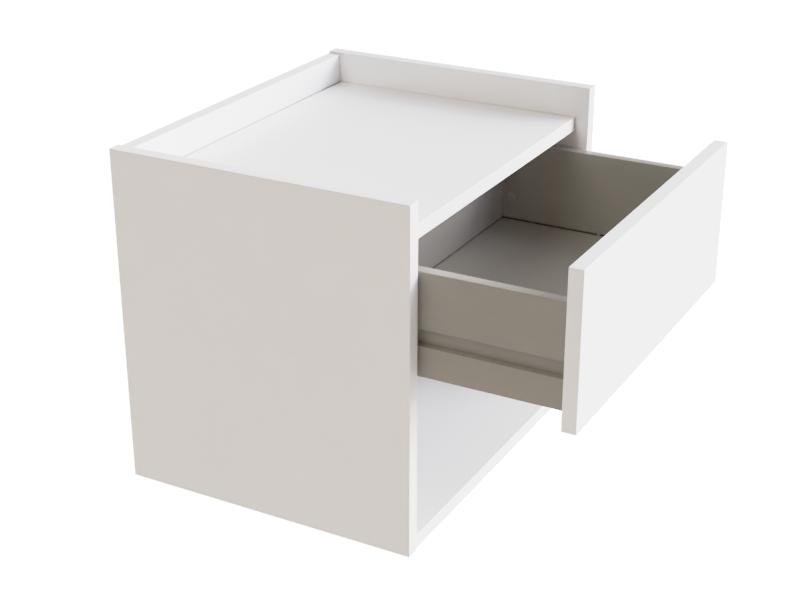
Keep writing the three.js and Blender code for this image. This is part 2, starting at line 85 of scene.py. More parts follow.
# ---------------------------------------------------------------- node helpers
class Nodes:
    """A small builder for one procedural material."""

    def __init__(self, name):
        self.mat = bpy.data.materials.new(name)
        self.mat.use_nodes = True
        self.tree = self.mat.node_tree
        self.tree.nodes.clear()
        self.out = self.tree.nodes.new("ShaderNodeOutputMaterial")
        self.bsdf = self.tree.nodes.new("ShaderNodeBsdfPrincipled")
        self.link(self.bsdf.outputs["BSDF"], self.out.inputs["Surface"])
        self.coords = self.tree.nodes.new("ShaderNodeTexCoord").outputs["Object"]

    def link(self, a, b):
        self.tree.links.new(a, b)

    def set(self, **values):
        for key, value in values.items():
            self.bsdf.inputs[key.replace("_", " ")].default_value = value

    def mapped(self, scale, turn=(0, 0, 0), shift=(0, 0, 0)):
        m = self.tree.nodes.new("ShaderNodeMapping")
        m.inputs["Scale"].default_value = scale
        m.inputs["Rotation"].default_value = turn
        m.inputs["Location"].default_value = shift
        self.link(self.coords, m.inputs["Vector"])
        return m.outputs["Vector"]

    def noise(self, vector, scale, detail=2.0, rough=0.5, distort=0.0):
        n = self.tree.nodes.new("ShaderNodeTexNoise")
        n.inputs["Scale"].default_value = scale
        n.inputs["Detail"].default_value = detail
        n.inputs["Roughness"].default_value = rough
        n.inputs["Distortion"].default_value = distort
        self.link(vector, n.inputs["Vector"])
        return n.outputs["Fac"]

    def voronoi(self, vector, scale, feature="F1", out="Distance", jitter=1.0):
        n = self.tree.nodes.new("ShaderNodeTexVoronoi")
        n.feature = feature
        n.inputs["Scale"].default_value = scale
        n.inputs["Randomness"].default_value = jitter
        self.link(vector, n.inputs["Vector"])
        return n.outputs[out]

    def ramp(self, fac, stops):
        """stops are (position, colour), colour a triple or a grey."""
        r = self.tree.nodes.new("ShaderNodeValToRGB")
        e = r.color_ramp.elements
        while len(e) < len(stops):
            e.new(0.5)
        for i, (at, c) in enumerate(stops):
            c = (c, c, c) if isinstance(c, (int, float)) else c
            e[i].position = at
            e[i].color = (*c, 1)
        self.link(fac, r.inputs["Fac"])
        return r.outputs["Color"]

    def span(self, value, lo, hi, a=0.0, b=1.0):
        m = self.tree.nodes.new("ShaderNodeMapRange")
        m.inputs["From Min"].default_value = lo
        m.inputs["From Max"].default_value = hi
        m.inputs["To Min"].default_value = a
        m.inputs["To Max"].default_value = b
        self.link(value, m.inputs["Value"])
        return m.outputs["Result"]

    def math(self, op, a, b):
        m = self.tree.nodes.new("ShaderNodeMath")
        m.operation = op
        for i, v in enumerate((a, b)):
            if isinstance(v, (int, float)):
                m.inputs[i].default_value = v
            else:
                self.link(v, m.inputs[i])
        return m.outputs[0]

    def mix(self, fac, a, b, mode="MIX"):
        m = self.tree.nodes.new("ShaderNodeMix")
        m.data_type = "RGBA"
        m.blend_type = mode
        m.clamp_factor = True
        sockets = {s.identifier: s for s in m.inputs}
        for key, v in (("Factor_Float", fac), ("A_Color", a), ("B_Color", b)):
            s = sockets[key]
            if isinstance(v, (int, float)):
                s.default_value = v if key == "Factor_Float" else (v, v, v, 1)
            elif isinstance(v, tuple):
                s.default_value = (*v, 1)
            else:
                self.link(v, s)
        return {s.identifier: s for s in m.outputs}["Result_Color"]

    def attribute(self, name):
        n = self.tree.nodes.new("ShaderNodeAttribute")
        n.attribute_type = "GEOMETRY"
        n.attribute_name = name
        return n.outputs["Fac"]

    def bump(self, height, strength, distance, normal=None):
        b = self.tree.nodes.new("ShaderNodeBump")
        b.inputs["Strength"].default_value = strength
        b.inputs["Distance"].default_value = distance
        self.link(height, b.inputs["Height"])
        if normal is not None:
            self.link(normal, b.inputs["Normal"])
        return b.outputs["Normal"]

    def colour(self, socket):
        self.link(socket, self.bsdf.inputs["Base Color"])

    def roughness(self, socket):
        self.link(socket, self.bsdf.inputs["Roughness"])

    def normal(self, socket):
        self.link(socket, self.bsdf.inputs["Normal"])


def tint(c, k):
    return tuple(min(1.0, x * k) for x in c)


WHITE = (0.900, 0.896, 0.889)
GREIGE = (0.286, 0.265, 0.222)


def melamine(name="melamine_white"):
    """Satin white melamine: a very fine pearl in the surface, faint clouding, rounded edges a little smoother."""
    m = Nodes(name)
    cloud = m.noise(m.mapped((1, 1, 1)), 7.0, 3.0, 0.55)
    speck = m.noise(m.mapped((1, 1, 1), shift=(3, 1, 7)), 420.0, 2.0, 0.5)
    tone = m.ramp(cloud, [(0.30, tint(WHITE, 0.988)), (0.70, tint(WHITE, 1.010))])
    tone = m.mix(m.span(speck, 0.35, 0.65, 0.0, 0.5), tone, tint(WHITE, 1.012))
    edge = m.attribute("edge")
    tone = m.mix(m.math("MULTIPLY", edge, 0.35), tone, tint(WHITE, 1.02))
    m.colour(tone)
    rough = m.math("ADD", m.span(cloud, 0.25, 0.75, 0.40, 0.46), m.math("MULTIPLY", edge, -0.05))
    m.roughness(m.math("ADD", rough, m.span(speck, 0.3, 0.7, -0.015, 0.015)))
    pearl = m.noise(m.mapped((1, 1, 1)), 1500.0, 2.0, 0.6)
    wave = m.noise(m.mapped((1, 1, 1), shift=(5, 5, 2)), 160.0, 1.0, 0.4)
    m.normal(m.bump(m.math("ADD", m.math("MULTIPLY", pearl, 0.55), m.math("MULTIPLY", wave, 0.45)), 0.10, 0.00006))
    m.set(IOR=1.5)
    m.bsdf.inputs["Specular IOR Level"].default_value = 0.5
    return m.mat


def band_joint():
    """The hairline where the edge band meets the face."""
    m = Nodes("band_joint")
    broken = m.noise(m.mapped((1, 1, 1)), 90.0, 2.0, 0.5)
    m.colour(m.ramp(broken, [(0.35, (0.66, 0.64, 0.61)), (0.62, (0.78, 0.77, 0.75))]))
    m.roughness(m.span(broken, 0.3, 0.7, 0.5, 0.62))
    return m.mat


def particle_core():
    """Raw particle board: flat chips in several browns."""
    m = Nodes("particle_core")
    warp = m.mapped((1.0, 1.0, 2.6))
    chips = m.voronoi(warp, 420.0, "F1", "Color")
    grey = m.tree.nodes.new("ShaderNodeRGBToBW")
    m.link(chips, grey.inputs["Color"])
    m.colour(m.ramp(grey.outputs["Val"], [(0.1, (0.25, 0.165, 0.095)), (0.5, (0.45, 0.32, 0.20)), (0.9, (0.62, 0.48, 0.33))]))
    edges = m.voronoi(warp, 420.0, "DISTANCE_TO_EDGE")
    m.roughness(m.span(grey.outputs["Val"], 0, 1, 0.78, 0.92))
    m.normal(m.bump(edges, 0.5, 0.0004))
    return m.mat


def painted_seam_shadow():
    """A painted shadow: a dark neutral grey for the faces that lie in the seams between boards, so that the seams read
    dark.
    """
    m = Nodes("painted_seam_shadow")
    # a mottle in the grey of the painted seam shadow
    shadow_mottle = m.noise(m.mapped((1, 1, 1), shift=(4, 3, 1)), 260.0, 3.0, 0.6)
    m.colour(m.ramp(shadow_mottle, [(0.3, (0.070, 0.068, 0.066)), (0.7, (0.118, 0.115, 0.112))]))
    m.roughness(m.span(shadow_mottle, 0.3, 0.7, 0.82, 0.94))
    m.normal(m.bump(shadow_mottle, 0.3, 0.0002))
    return m.mat


def mdf_core(name="fibre_core", k=1.0):
    """Cut fibre board: even, felted, light brown. With k below 1 it is darkened, which the slots use as painted shade.
    """
    m = Nodes(name)
    felt = m.noise(m.mapped((1, 1, 2.2)), 900.0, 4.0, 0.65)
    m.colour(m.ramp(felt, [(0.3, tint((0.36, 0.25, 0.155), k)), (0.7, tint((0.50, 0.375, 0.25), k))]))
    m.roughness(m.span(felt, 0.3, 0.7, 0.82, 0.93))
    m.normal(m.bump(felt, 0.35, 0.0003))
    return m.mat


def foil(name="drawer_foil", base=GREIGE, along=1, streak=0.035):
    """Greige foil wrapped round fibre board: satin, with a breath of lengthwise printing; its rounded edges are painted
    lighter, a painted sheen, and are a little smoother.
    """
    m = Nodes(name)
    scale = [1.0, 1.0, 1.0]
    scale[along] = 0.05
    lines = m.noise(m.mapped(tuple(scale)), 330.0, 3.0, 0.6)
    cloud = m.noise(m.mapped((1, 1, 1), shift=(2, 9, 4)), 9.0, 3.0, 0.5)
    tone = m.ramp(m.math("ADD", m.math("MULTIPLY", lines, 0.55), m.math("MULTIPLY", cloud, 0.45)),
                  [(0.34, tint(base, 1.0 - streak)), (0.66, tint(base, 1.0 + streak))])
    edge = m.attribute("edge")
    # painted sheen: the rounded edges are mixed towards a lighter greige
    tone = m.mix(m.math("MULTIPLY", edge, 0.45), tone, tint(base, 1.16))
    m.colour(tone)
    m.roughness(m.math("ADD", m.span(cloud, 0.3, 0.7, 0.33, 0.39), m.math("MULTIPLY", edge, -0.04)))
    grain = m.noise(m.mapped((1, 1, 1)), 1300.0, 2.0, 0.55)
    m.normal(m.bump(m.math("ADD", m.math("MULTIPLY", grain, 0.5), m.math("MULTIPLY", lines, 0.5)), 0.12, 0.00006))
    m.set(IOR=1.5)
    return m.mat


def plastic(name, base, low=0.42, high=0.5):
    """Moulded plastic with fine spark-eroded grain."""
    m = Nodes(name)
    grain = m.noise(m.mapped((1, 1, 1)), 1800.0, 3.0, 0.6)
    flow = m.noise(m.mapped((1, 0.25, 1)), 45.0, 2.0, 0.5)
    m.colour(m.ramp(flow, [(0.3, tint(base, 0.965)), (0.7, tint(base, 1.03))]))
    m.roughness(m.span(grain, 0.3, 0.7, low, high))
    m.normal(m.bump(grain, 0.22, 0.0001))
    m.set(IOR=1.48)
    return m.mat


def cast_zinc():
    m = Nodes("cast_zinc")
    skin = m.noise(m.mapped((1, 1, 1)), 700.0, 5.0, 0.65)
    blot = m.noise(m.mapped((1, 1, 1), shift=(8, 2, 5)), 120.0, 2.0, 0.5)
    m.colour(m.ramp(m.math("ADD", m.math("MULTIPLY", skin, 0.4), m.math("MULTIPLY", blot, 0.6)), [(0.3, (0.40, 0.405, 0.415)), (0.7, (0.60, 0.60, 0.605))]))
    m.roughness(m.span(skin, 0.3, 0.7, 0.33, 0.52))
    m.normal(m.bump(skin, 0.3, 0.00012))
    m.set(Metallic=1.0)
    return m.mat


def plated_steel():
    """Zinc-plated steel, with drawn lines and a slight blue and straw bloom."""
    m = Nodes("plated_steel")
    lines = m.noise(m.mapped((0.15, 1, 1)), 1500.0, 3.0, 0.6)
    bloom = m.noise(m.mapped((1, 1, 1), shift=(1, 6, 3)), 60.0, 2.0, 0.5)
    m.colour(m.ramp(bloom, [(0.25, (0.58, 0.60, 0.635)), (0.5, (0.66, 0.665, 0.67)), (0.75, (0.69, 0.68, 0.64))]))
    m.roughness(m.span(lines, 0.3, 0.7, 0.24, 0.40))
    m.normal(m.bump(lines, 0.16, 0.00008))
    m.set(Metallic=1.0)
    return m.mat


def beech():
    m = Nodes("beech")
    grain = m.noise(m.mapped((0.06, 1, 1)), 520.0, 4.0, 0.65, 0.4)
    flecks = m.voronoi(m.mapped((0.22, 1, 1)), 900.0, "F1")
    tone = m.ramp(grain, [(0.3, (0.47, 0.30, 0.165)), (0.55, (0.60, 0.42, 0.26)), (0.75, (0.68, 0.50, 0.33))])
    m.colour(m.mix(m.span(flecks, 0.0, 0.25, 0.35, 0.0), tone, (0.40, 0.24, 0.13)))
    m.roughness(m.span(grain, 0.3, 0.7, 0.55, 0.72))
    m.normal(m.bump(grain, 0.3, 0.0002))
    return m.mat


MAT = {
    "white": melamine(),
    "joint": band_joint(),
    "chip": particle_core(),
    "fibre": mdf_core(),
    # the slot core is darkened to paint the shade deep in the slots and on the floor's planed rim
    "slot": mdf_core("slot_painted_shade", 0.32),
    # the seam material is a painted shadow
    "seam_shadow_paint": painted_seam_shadow(),
    "foil_y": foil("drawer_foil_lengthwise", along=1),
    "foil_x": foil("drawer_foil_crosswise", base=(0.272, 0.256, 0.228), along=0),
    "foil_floor": foil("drawer_floor_foil", base=tint(GREIGE, 1.04), along=1, streak=0.03),
    "runner": plastic("runner_plastic", (0.60, 0.59, 0.565), 0.38, 0.48),
    "cap": plastic("greige_plastic", tint(GREIGE, 1.08), 0.36, 0.44),
    "zinc": cast_zinc(),
    "steel": plated_steel(),
    "beech": beech(),
}


# ---------------------------------------------------------------- mesh helpers
def link(name, mesh):
    o = bpy.data.objects.new(name, mesh)
    SCENE.collection.objects.link(o)
    return o


def to_object(name, bm):
    me = bpy.data.meshes.new(name)
    bmesh.ops.recalc_face_normals(bm, faces=bm.faces)
    bm.to_mesh(me)
    bm.free()
    return link(name, me)


def bake_modifiers(o):
    dg = bpy.context.evaluated_depsgraph_get()
    me = bpy.data.meshes.new_from_object(o.evaluated_get(dg))
    old = o.data
    o.modifiers.clear()
    o.data = me
    me.name = o.name
    bpy.data.meshes.remove(old)
    return o


def put(o):
    """Millimetres above the underside to metres in the frame."""
    o.data.transform(Matrix.Translation((0, 0, UNDERSIDE)) @ Matrix.Diagonal((0.001, 0.001, 0.001, 1)))
    o.data.update()
    return o


def boolean(o, cutter, op="DIFFERENCE"):
    m = o.modifiers.new("cut", "BOOLEAN")
    m.operation = op
    m.object = cutter
    m.solver = "EXACT"
    bake_modifiers(o)
    me = cutter.data
    bpy.data.objects.remove(cutter)
    bpy.data.meshes.remove(me)
    return o


def fillet(points, n=6):
    """points are (u, v, radius): a closed outline with its corners rounded."""
    out = []
    count = len(points)
    for i in range(count):
        p = Vector(points[i][:2])
        r = points[i][2]
        if r <= 0:
            out.append((p.x, p.y))
            continue
        a = (Vector(points[i - 1][:2]) - p).normalized()
        b = (Vector(points[(i + 1) % count][:2]) - p).normalized()
        half = a.angle(b) / 2
        t = r / math.tan(half)
        centre = p + (a + b).normalized() * (r / math.sin(half))
        s, e = p + a * t - centre, p + b * t - centre
        turn = s.angle_signed(e)          # clockwise positive
        for k in range(n + 1):
            ang = -turn * k / n
            c, sn = math.cos(ang), math.sin(ang)
            out.append((centre.x + s.x * c - s.y * sn, centre.y + s.x * sn + s.y * c))
    return out


def bar(name, outline, a, b, axis):
    """A bar of constant section from a to b. axis 'y': outline is (x, z); 'x': (y, z); 'z': (x, y)."""
    def at(u, v, w):
        return {"y": (u, w, v), "x": (w, u, v), "z": (u, v, w)}[axis]
    bm = bmesh.new()
    rings = [[bm.verts.new(at(u, v, w)) for u, v in outline] for w in (a, b)]
    n = len(outline)
    for i in range(n):
        bm.faces.new((rings[0][i], rings[0][(i + 1) % n], rings[1][(i + 1) % n], rings[1][i]))
    bm.faces.new(rings[0])
    bm.faces.new(rings[1])
    return to_object(name, bm)


def block(name, x0, x1, y0, y1, z0, z1):
    return bar(name, [(x0, y0), (x1, y0), (x1, y1), (x0, y1)], z0, z1, "z")


def lathe(name, profile, axis, u, v, seg=40):
    """A turned solid. profile is (distance along the axis, radius), its ends on the axis."""
    bm = bmesh.new()

    def at(d, r, t):
        a, b = r * math.cos(t), r * math.sin(t)
        return {"x": (d, u + a, v + b), "y": (u + a, d, v + b), "z": (u + a, v + b, d)}[axis]
    rings = []
    for d, r in profile:
        rings.append([bm.verts.new(at(d, 0, 0))] if r < 1e-9 else [bm.verts.new(at(d, r, 2 * math.pi * k / seg)) for k in range(seg)])
    for p, q in zip(rings, rings[1:]):
        for k in range(seg):
            l = (k + 1) % seg
            if len(p) == 1 and len(q) == 1:
                continue
            if len(p) == 1:
                bm.faces.new((p[0], q[l], q[k]))
            elif len(q) == 1:
                bm.faces.new((p[k], p[l], q[0]))
            else:
                bm.faces.new((p[k], p[l], q[l], q[k]))
    return to_object(name, bm)


def rod(axis, a, b, u, v, r, seg=28):
    ra, rb = r if isinstance(r, tuple) else (r, r)
    return lathe("tool", [(a, 0), (a, ra), (b, rb), (b, 0)], axis, u, v, seg)


def arc_profile(cx, cr, r, a0, a1, n):
    """Points (distance, radius) on an arc, degrees."""
    return [(cx + r * math.cos(math.radians(a0 + (a1 - a0) * k / n)), cr + r * math.sin(math.radians(a0 + (a1 - a0) * k / n))) for k in range(n + 1)]


def tidy(o, angle=32.0):
    """Merges what a cut left behind, marks sharp edges and lets the flat faces lead the shading."""
    bm = bmesh.new()
    bm.from_mesh(o.data)
    bmesh.ops.remove_doubles(bm, verts=bm.verts, dist=2e-4)
    bmesh.ops.dissolve_degenerate(bm, edges=bm.edges, dist=1e-4)
    bmesh.ops.recalc_face_normals(bm, faces=bm.faces)
    for f in bm.faces:
        f.smooth = True
    for e in bm.edges:
        e.smooth = not (len(e.link_faces) == 2 and e.calc_face_angle(0) > math.radians(angle))
    bm.to_mesh(o.data)
    bm.free()
    m = o.modifiers.new("weighted", "WEIGHTED_NORMAL")
    m.keep_sharp = True
    m.mode = "FACE_AREA"
    return bake_modifiers(o)


def mirrored(o, name):
    """The same piece on the other side."""
    me = o.data.copy()
    me.name = name
    bm = bmesh.new()
    bm.from_mesh(me)
    for v in bm.verts:
        v.co.x = -v.co.x
    bmesh.ops.reverse_faces(bm, faces=bm.faces)
    bm.to_mesh(me)
    bm.free()
    n = link(name, me)
    return n


def mark(o, rule):
    """rule(face centre, face normal) gives the number of the face's material."""
    for p in o.data.polygons:
        p.material_index = rule(p.center, p.normal)


def edge_attribute(o, rule):
    """rule(point, normal) gives how much a point lies on a rounded edge, 0 to 1."""
    a = o.data.attributes.get("edge") or o.data.attributes.new("edge", "FLOAT", "POINT")
    for v in o.data.vertices:
        a.data[v.index].value = rule(v.co, v.normal)


def own(o, mats, body, nodes):
    for m in mats:
        o.data.materials.append(MAT[m])
    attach(o, body)
    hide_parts(*nodes)
    return o


# ---------------------------------------------------------------- boards from the frame
def board(name, node, body, raw=(), band=BAND_R, fine=RAW_R, joint=0.14, mats=("white", "joint", "chip"), short=0.0, narrow=0.0, strip=None):
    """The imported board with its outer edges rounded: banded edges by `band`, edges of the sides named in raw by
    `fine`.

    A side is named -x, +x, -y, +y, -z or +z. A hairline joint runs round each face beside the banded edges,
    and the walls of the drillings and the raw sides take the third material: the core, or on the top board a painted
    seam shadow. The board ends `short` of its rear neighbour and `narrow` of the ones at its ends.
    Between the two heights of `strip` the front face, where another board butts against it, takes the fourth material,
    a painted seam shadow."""
    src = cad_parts[node]
    bm = bmesh.new()
    bm.from_mesh(src.data)
    bmesh.ops.transform(bm, matrix=Matrix.Diagonal((1000, 1000, 1000, 1)) @ Matrix.Translation((0, 0, -UNDERSIDE)), verts=bm.verts)
    bmesh.ops.remove_doubles(bm, verts=bm.verts, dist=1e-3)
    bmesh.ops.dissolve_limit(bm, angle_limit=math.radians(0.4), verts=bm.verts, edges=bm.edges, use_dissolve_boundaries=False)
    lo = Vector([min(v.co[i] for v in bm.verts) for i in range(3)])
    hi = Vector([max(v.co[i] for v in bm.verts) for i in range(3)])
    weight = bm.edges.layers.float.new("bevel_weight_edge")

    def planes(p):
        return {s + "xyz"[i] for i in range(3) for s, w in (("-", lo[i]), ("+", hi[i])) if abs(p[i] - w) < 2e-3}
    for e in bm.edges:
        on = planes(e.verts[0].co) & planes(e.verts[1].co)
        if len(on) >= 2:
            e[weight] = fine / band if on & set(raw) else 1.0
    me = bpy.data.meshes.new(name)
    bm.to_mesh(me)
    bm.free()
    o = link(name, me)
    m = o.modifiers.new("round", "BEVEL")
    m.limit_method = "WEIGHT"
    m.offset_type = "OFFSET"
    m.width = band
    m.segments = 4
    m.use_clamp_overlap = False
    m.miter_outer = "MITER_SHARP"
    bake_modifiers(o)
    bm = bmesh.new()
    bm.from_mesh(o.data)
    bm.normal_update()

    def flat_on(f):
        for i in range(3):
            for s, w in (("-", lo[i]), ("+", hi[i])):
                if abs(f.normal[i]) > 0.9999 and abs(f.calc_center_median()[i] - w) < 2e-3:
                    return s + "xyz"[i]
        return None
    if joint:
        for side in ("-x", "+x", "-y", "+y", "-z", "+z"):
            faces = [f for f in bm.faces if flat_on(f) == side]
            i = "xyz".index(side[1])
            thin = min((hi[j] - lo[j]) for j in range(3) if j != i)
            if side in raw or thin < 20 or not faces:
                continue
            ring = bmesh.ops.inset_region(bm, faces=faces, thickness=joint, use_even_offset=True, use_boundary=True)
            for f in ring["faces"]:
                f.material_index = 1
    for f in bm.faces:
        side = flat_on(f)
        c = f.calc_center_median()
        inside = all(lo[j] + band * 1.2 < c[j] < hi[j] - band * 1.2 for j in range(3))
        if (side is None and inside) or (side in raw):
            f.material_index = 2
    for z in strip or ():
        bmesh.ops.bisect_plane(bm, geom=bm.verts[:] + bm.edges[:] + bm.faces[:], plane_co=(0, 0, z), plane_no=(0, 0, 1))
    for f in bm.faces:
        c = f.calc_center_median()
        if strip and strip[0] < c.z < strip[1] and f.normal.y < -0.99 and c.y < lo.y + 0.01:
            f.material_index = 3
    for v in bm.verts:                      # nothing stands proud of the board's own faces
        v.co = [min(max(v.co[i], lo[i]), hi[i]) for i in range(3)]
        if v.co.y > hi.y - 1.5:
            v.co.y -= short
        if abs(v.co.x) > hi.x - 1.5:
            v.co.x -= math.copysign(narrow, v.co.x)
    bm.to_mesh(o.data)
    bm.free()
    tidy(o)

    def on_edge(p, n):
        near = [min(abs(p[i] - lo[i]), abs(p[i] - hi[i])) for i in range(3)]
        return 1.0 if sorted(near)[1] < band * 1.02 and max(abs(n[i]) for i in range(3)) < 0.995 else 0.0
    edge_attribute(o, on_edge)
    put(o)
    return own(o, mats, body, [node])


board("left_side_board", "side_panel_left", "cabinet")
board("right_side_board", "side_panel_right", "cabinet")
# the strip on the rear board's front face, below the top board's surface, is painted with the seam shadow
board("rear_board", "back_panel", "cabinet", raw=("-x", "+x"), mats=("white", "joint", "chip", "seam_shadow_paint"), strip=(337.0, 352.45))
# the top board's raw ends and rear edge lie in the seams and are painted with the seam shadow instead of core
board("top_board", "top_panel", "cabinet", raw=("-x", "+x", "+y"), mats=("white", "joint", "seam_shadow_paint"), short=1.3, narrow=0.35)
board("bottom_board", "bottom_panel", "cabinet", raw=("-x", "+x", "+y"))
board("drawer_front_slab", "drawer_front", "drawer")


def drawer_floor():
    """A thin foiled fibre board. Its rim, which runs in the slots, is planed down so that it starts easily."""
    lo, hi = (Vector(c) * 1000 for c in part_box("drawer_bottom"))
    top = FLOOR_TOP
    planed = (BOX_IN + 0.15, FRONT_REAR - 0.15, BACK_INNER + 0.15)
    rings = (
        (lo.x, hi.x, lo.y, hi.y, top - 3.0), (lo.x, hi.x, lo.y, hi.y, top - 2.1),
        (-planed[0], planed[0], planed[1], planed[2], top - 0.08),
        (-planed[0] + 0.25, planed[0] - 0.25, planed[1] + 0.25, planed[2] - 0.25, top),
    )
    bm = bmesh.new()
    loops = [[bm.verts.new(v) for v in ((x0, y0, z), (x1, y0, z), (x1, y1, z), (x0, y1, z))] for x0, x1, y0, y1, z in rings]
    bm.faces.new(loops[0][::-1]).material_index = 0
    # the planed rim takes the slot material, core darkened as painted shade, so that the seam at the slots reads dark
    for k, (a, b) in enumerate(zip(loops, loops[1:])):
        for i in range(4):
            j = (i + 1) % 4
            bm.faces.new((a[i], a[j], b[j], b[i])).material_index = (1, 2, 0)[k]
    bm.faces.new(loops[-1])
    o = to_object("drawer_floor", bm)
    edge_attribute(o, lambda p, n: 0.0)
    put(o)
    own(o, ("foil_floor", "fibre", "slot"), "drawer", ["drawer_bottom"])


drawer_floor()

# ---------------------------------------------------------------- drawer box
SIDE_OUTLINE = fillet([
    (-BOX_OUT, BOX_Z0, 1.0), (-BOX_IN, BOX_Z0, 1.0),
    (-BOX_IN, SLOT_Z0, 0.15), (-BOX_IN - SLOT_D, SLOT_Z0, 0), (-BOX_IN - SLOT_D, SLOT_Z1, 0), (-BOX_IN, SLOT_Z1, 0.15),
    (-BOX_IN, BOX_Z1, 0.8), (-BOX_OUT, BOX_Z1, 1.0),
    (-BOX_OUT, GROOVE_Z1, 0.45), (-BOX_OUT + GROOVE_D, GROOVE_Z1, 0.35),
    (-BOX_OUT + GROOVE_D, GROOVE_Z0, 0.35), (-BOX_OUT, GROOVE_Z0, 0.45),
], 6)


def drawer_side():
    o = bar("drawer_side_wrapped_left", SIDE_OUTLINE, BOX_FRONT, BOX_REAR, "y")
    boolean(o, rod("x", -BOX_OUT - 1, -BOX_IN + 1, PIN_Y, GROOVE_MID, 3.1))
    for z in BOX_CAM_Z:
        boolean(o, rod("y", BOX_FRONT - 1, BOX_CAM_Y, -BOX_MID, z, 3.5))
        boolean(o, rod("x", -BOX_IN - 10.6, -BOX_IN + 1, BOX_CAM_Y, z, 6.1, 40))
    for z in BACK_SCREW_Z:
        boolean(o, rod("x", -BOX_OUT - 1, -BOX_IN + 1, BACK_SCREW_Y, z, 2.0))
        boolean(o, rod("x", -BOX_OUT - 0.01, -BOX_OUT + 2.6, BACK_SCREW_Y, z, (3.9, 2.0), 36))
    tidy(o)

    def core(c, n):
        if abs(n.y) > 0.99 and (c.y < BOX_FRONT + 0.1 or c.y > BOX_REAR - 0.1):
            return 1
        drilled = -BOX_OUT + 0.05 < c.x < -BOX_IN - 0.05
        for z in BOX_CAM_Z:
            if drilled and (c.y - BOX_CAM_Y) ** 2 + (c.z - z) ** 2 < 6.3 ** 2 and c.x > -BOX_OUT + 1:
                return 1
        for z in BACK_SCREW_Z:
            if drilled and (c.y - BACK_SCREW_Y) ** 2 + (c.z - z) ** 2 < 4.0 ** 2:
                return 1
        if drilled and (c.y - PIN_Y) ** 2 + (c.z - GROOVE_MID) ** 2 < 3.2 ** 2:
            return 1
        # the walls of the floor slot take the slot material, core darkened as painted shade
        if c.x > -BOX_IN - SLOT_D - 0.1 and c.x < -BOX_IN - 0.1 and SLOT_Z0 - 0.1 < c.z < SLOT_Z1 + 0.1:
            return 2
        return 0
    mark(o, core)

    # marks the rounded top and bottom edges, where the foil paints its lighter sheen
    def on_edge(p, n):
        top = p.z > BOX_Z1 - 1.1 and abs(n.z) > 0.15 and abs(n.x) > 0.08
        low = p.z < BOX_Z0 + 1.05 and abs(n.x) > 0.08
        return 1.0 if top or low else 0.0
    edge_attribute(o, on_edge)
    return o


left = drawer_side()
right = mirrored(left, "drawer_side_wrapped_right")
for o, side in ((left, "left"), (right, "right")):
    put(o)
    own(o, ("foil_y", "fibre", "slot"), "drawer", [f"drawer_side_{side}"])

BACK_OUTLINE = fillet([
    (BACK_INNER, BOX_Z0, 1.0), (BOX_REAR, BOX_Z0, 1.0), (BOX_REAR, BOX_Z1, 0.8), (BACK_INNER, BOX_Z1, 0.8),
    (BACK_INNER, SLOT_BACK_Z1, 0.15), (BACK_INNER + SLOT_D, SLOT_BACK_Z1, 0), (BACK_INNER + SLOT_D, SLOT_Z0, 0), (BACK_INNER, SLOT_Z0, 0.15),
], 6)


def drawer_back():
    half = BOX_IN - 0.3
    o = bar("drawer_back_wrapped", BACK_OUTLINE, -half, half, "x")
    for z in BACK_SCREW_Z:
        boolean(o, rod("x", -half - 1, -half + 17, BACK_SCREW_Y, z, 1.8))
        boolean(o, rod("x", half - 17, half + 1, BACK_SCREW_Y, z, 1.8))
    tidy(o)

    def core(c, n):
        if abs(c.x) > half - 0.1:
            return 1
        # the walls of the floor slot take the slot material, core darkened as painted shade
        if BACK_INNER + 0.1 < c.y < BACK_INNER + SLOT_D + 0.1 and SLOT_Z0 - 0.1 < c.z < SLOT_BACK_Z1 + 0.1:
            return 2
        return 1 if BACK_INNER + 1 < c.y < BOX_REAR - 1 and BOX_Z0 + 2 < c.z < BOX_Z1 - 2 else 0
    mark(o, core)
    edge_attribute(o, lambda p, n: 1.0 if p.z > BOX_Z1 - 0.9 and abs(n.y) > 0.08 and abs(n.z) > 0.15 else 0.0)
    put(o)
    own(o, ("foil_x", "fibre", "slot"), "drawer", ["drawer_back"])


drawer_back()


# wedges in the floor slots, and the stop pins
def pairs(make, stem, node, mats, body):
    o = make(stem + "_left")
    tidy(o)
    edge_attribute(o, lambda p, n: 0.0)
    twin = mirrored(o, stem + "_right")
    for piece, side in ((o, "left"), (twin, "right")):
        put(piece)
        own(piece, mats, body, [f"{node}_{side}"])


def wedge(name):
    x = -BOX_IN
    return bar(name, fillet([
        (x - 5.4, FLOOR_TOP + 0.3, 0.1), (x + 1.4, FLOOR_TOP + 0.3, 0.15), (x + 1.4, FLOOR_TOP + 2.2, 0.35),
        (x + 0.9, FLOOR_TOP + 2.9, 0.2), (x + 0.3, FLOOR_TOP + 2.9, 0.15), (x + 0.3, FLOOR_TOP + 1.8, 0.1), (x - 5.4, FLOOR_TOP + 1.2, 0.1),
    ], 3), -383.7, -381.3, "y")


pairs(wedge, "floor_wedge", "drawer_bottom_wedge", ("cap",), "drawer")


def stop_pin(name):
    base = -BOX_IN + 0.3
    # a button: a nearly flat crown, 1.9 proud, rolled over into the rim all round
    roll = [(base + 0.3 + 1.5 * math.sin(math.radians(t)), 3.45 + 1.85 * math.cos(math.radians(t))) for t in range(0, 91, 10)]
    profile = [(-BOX_OUT + 4, 0), (-BOX_OUT + 4, 2.3), (-BOX_OUT + 4.5, 2.8), (base, 2.8), (base, 5.3), *roll, (base + 1.88, 1.9), (base + 1.9, 0)]
    return lathe(name, profile, "x", PIN_Y, GROOVE_MID, 56)


pairs(stop_pin, "stop_pin", "drawer_stop_pin", ("cap",), "drawer")


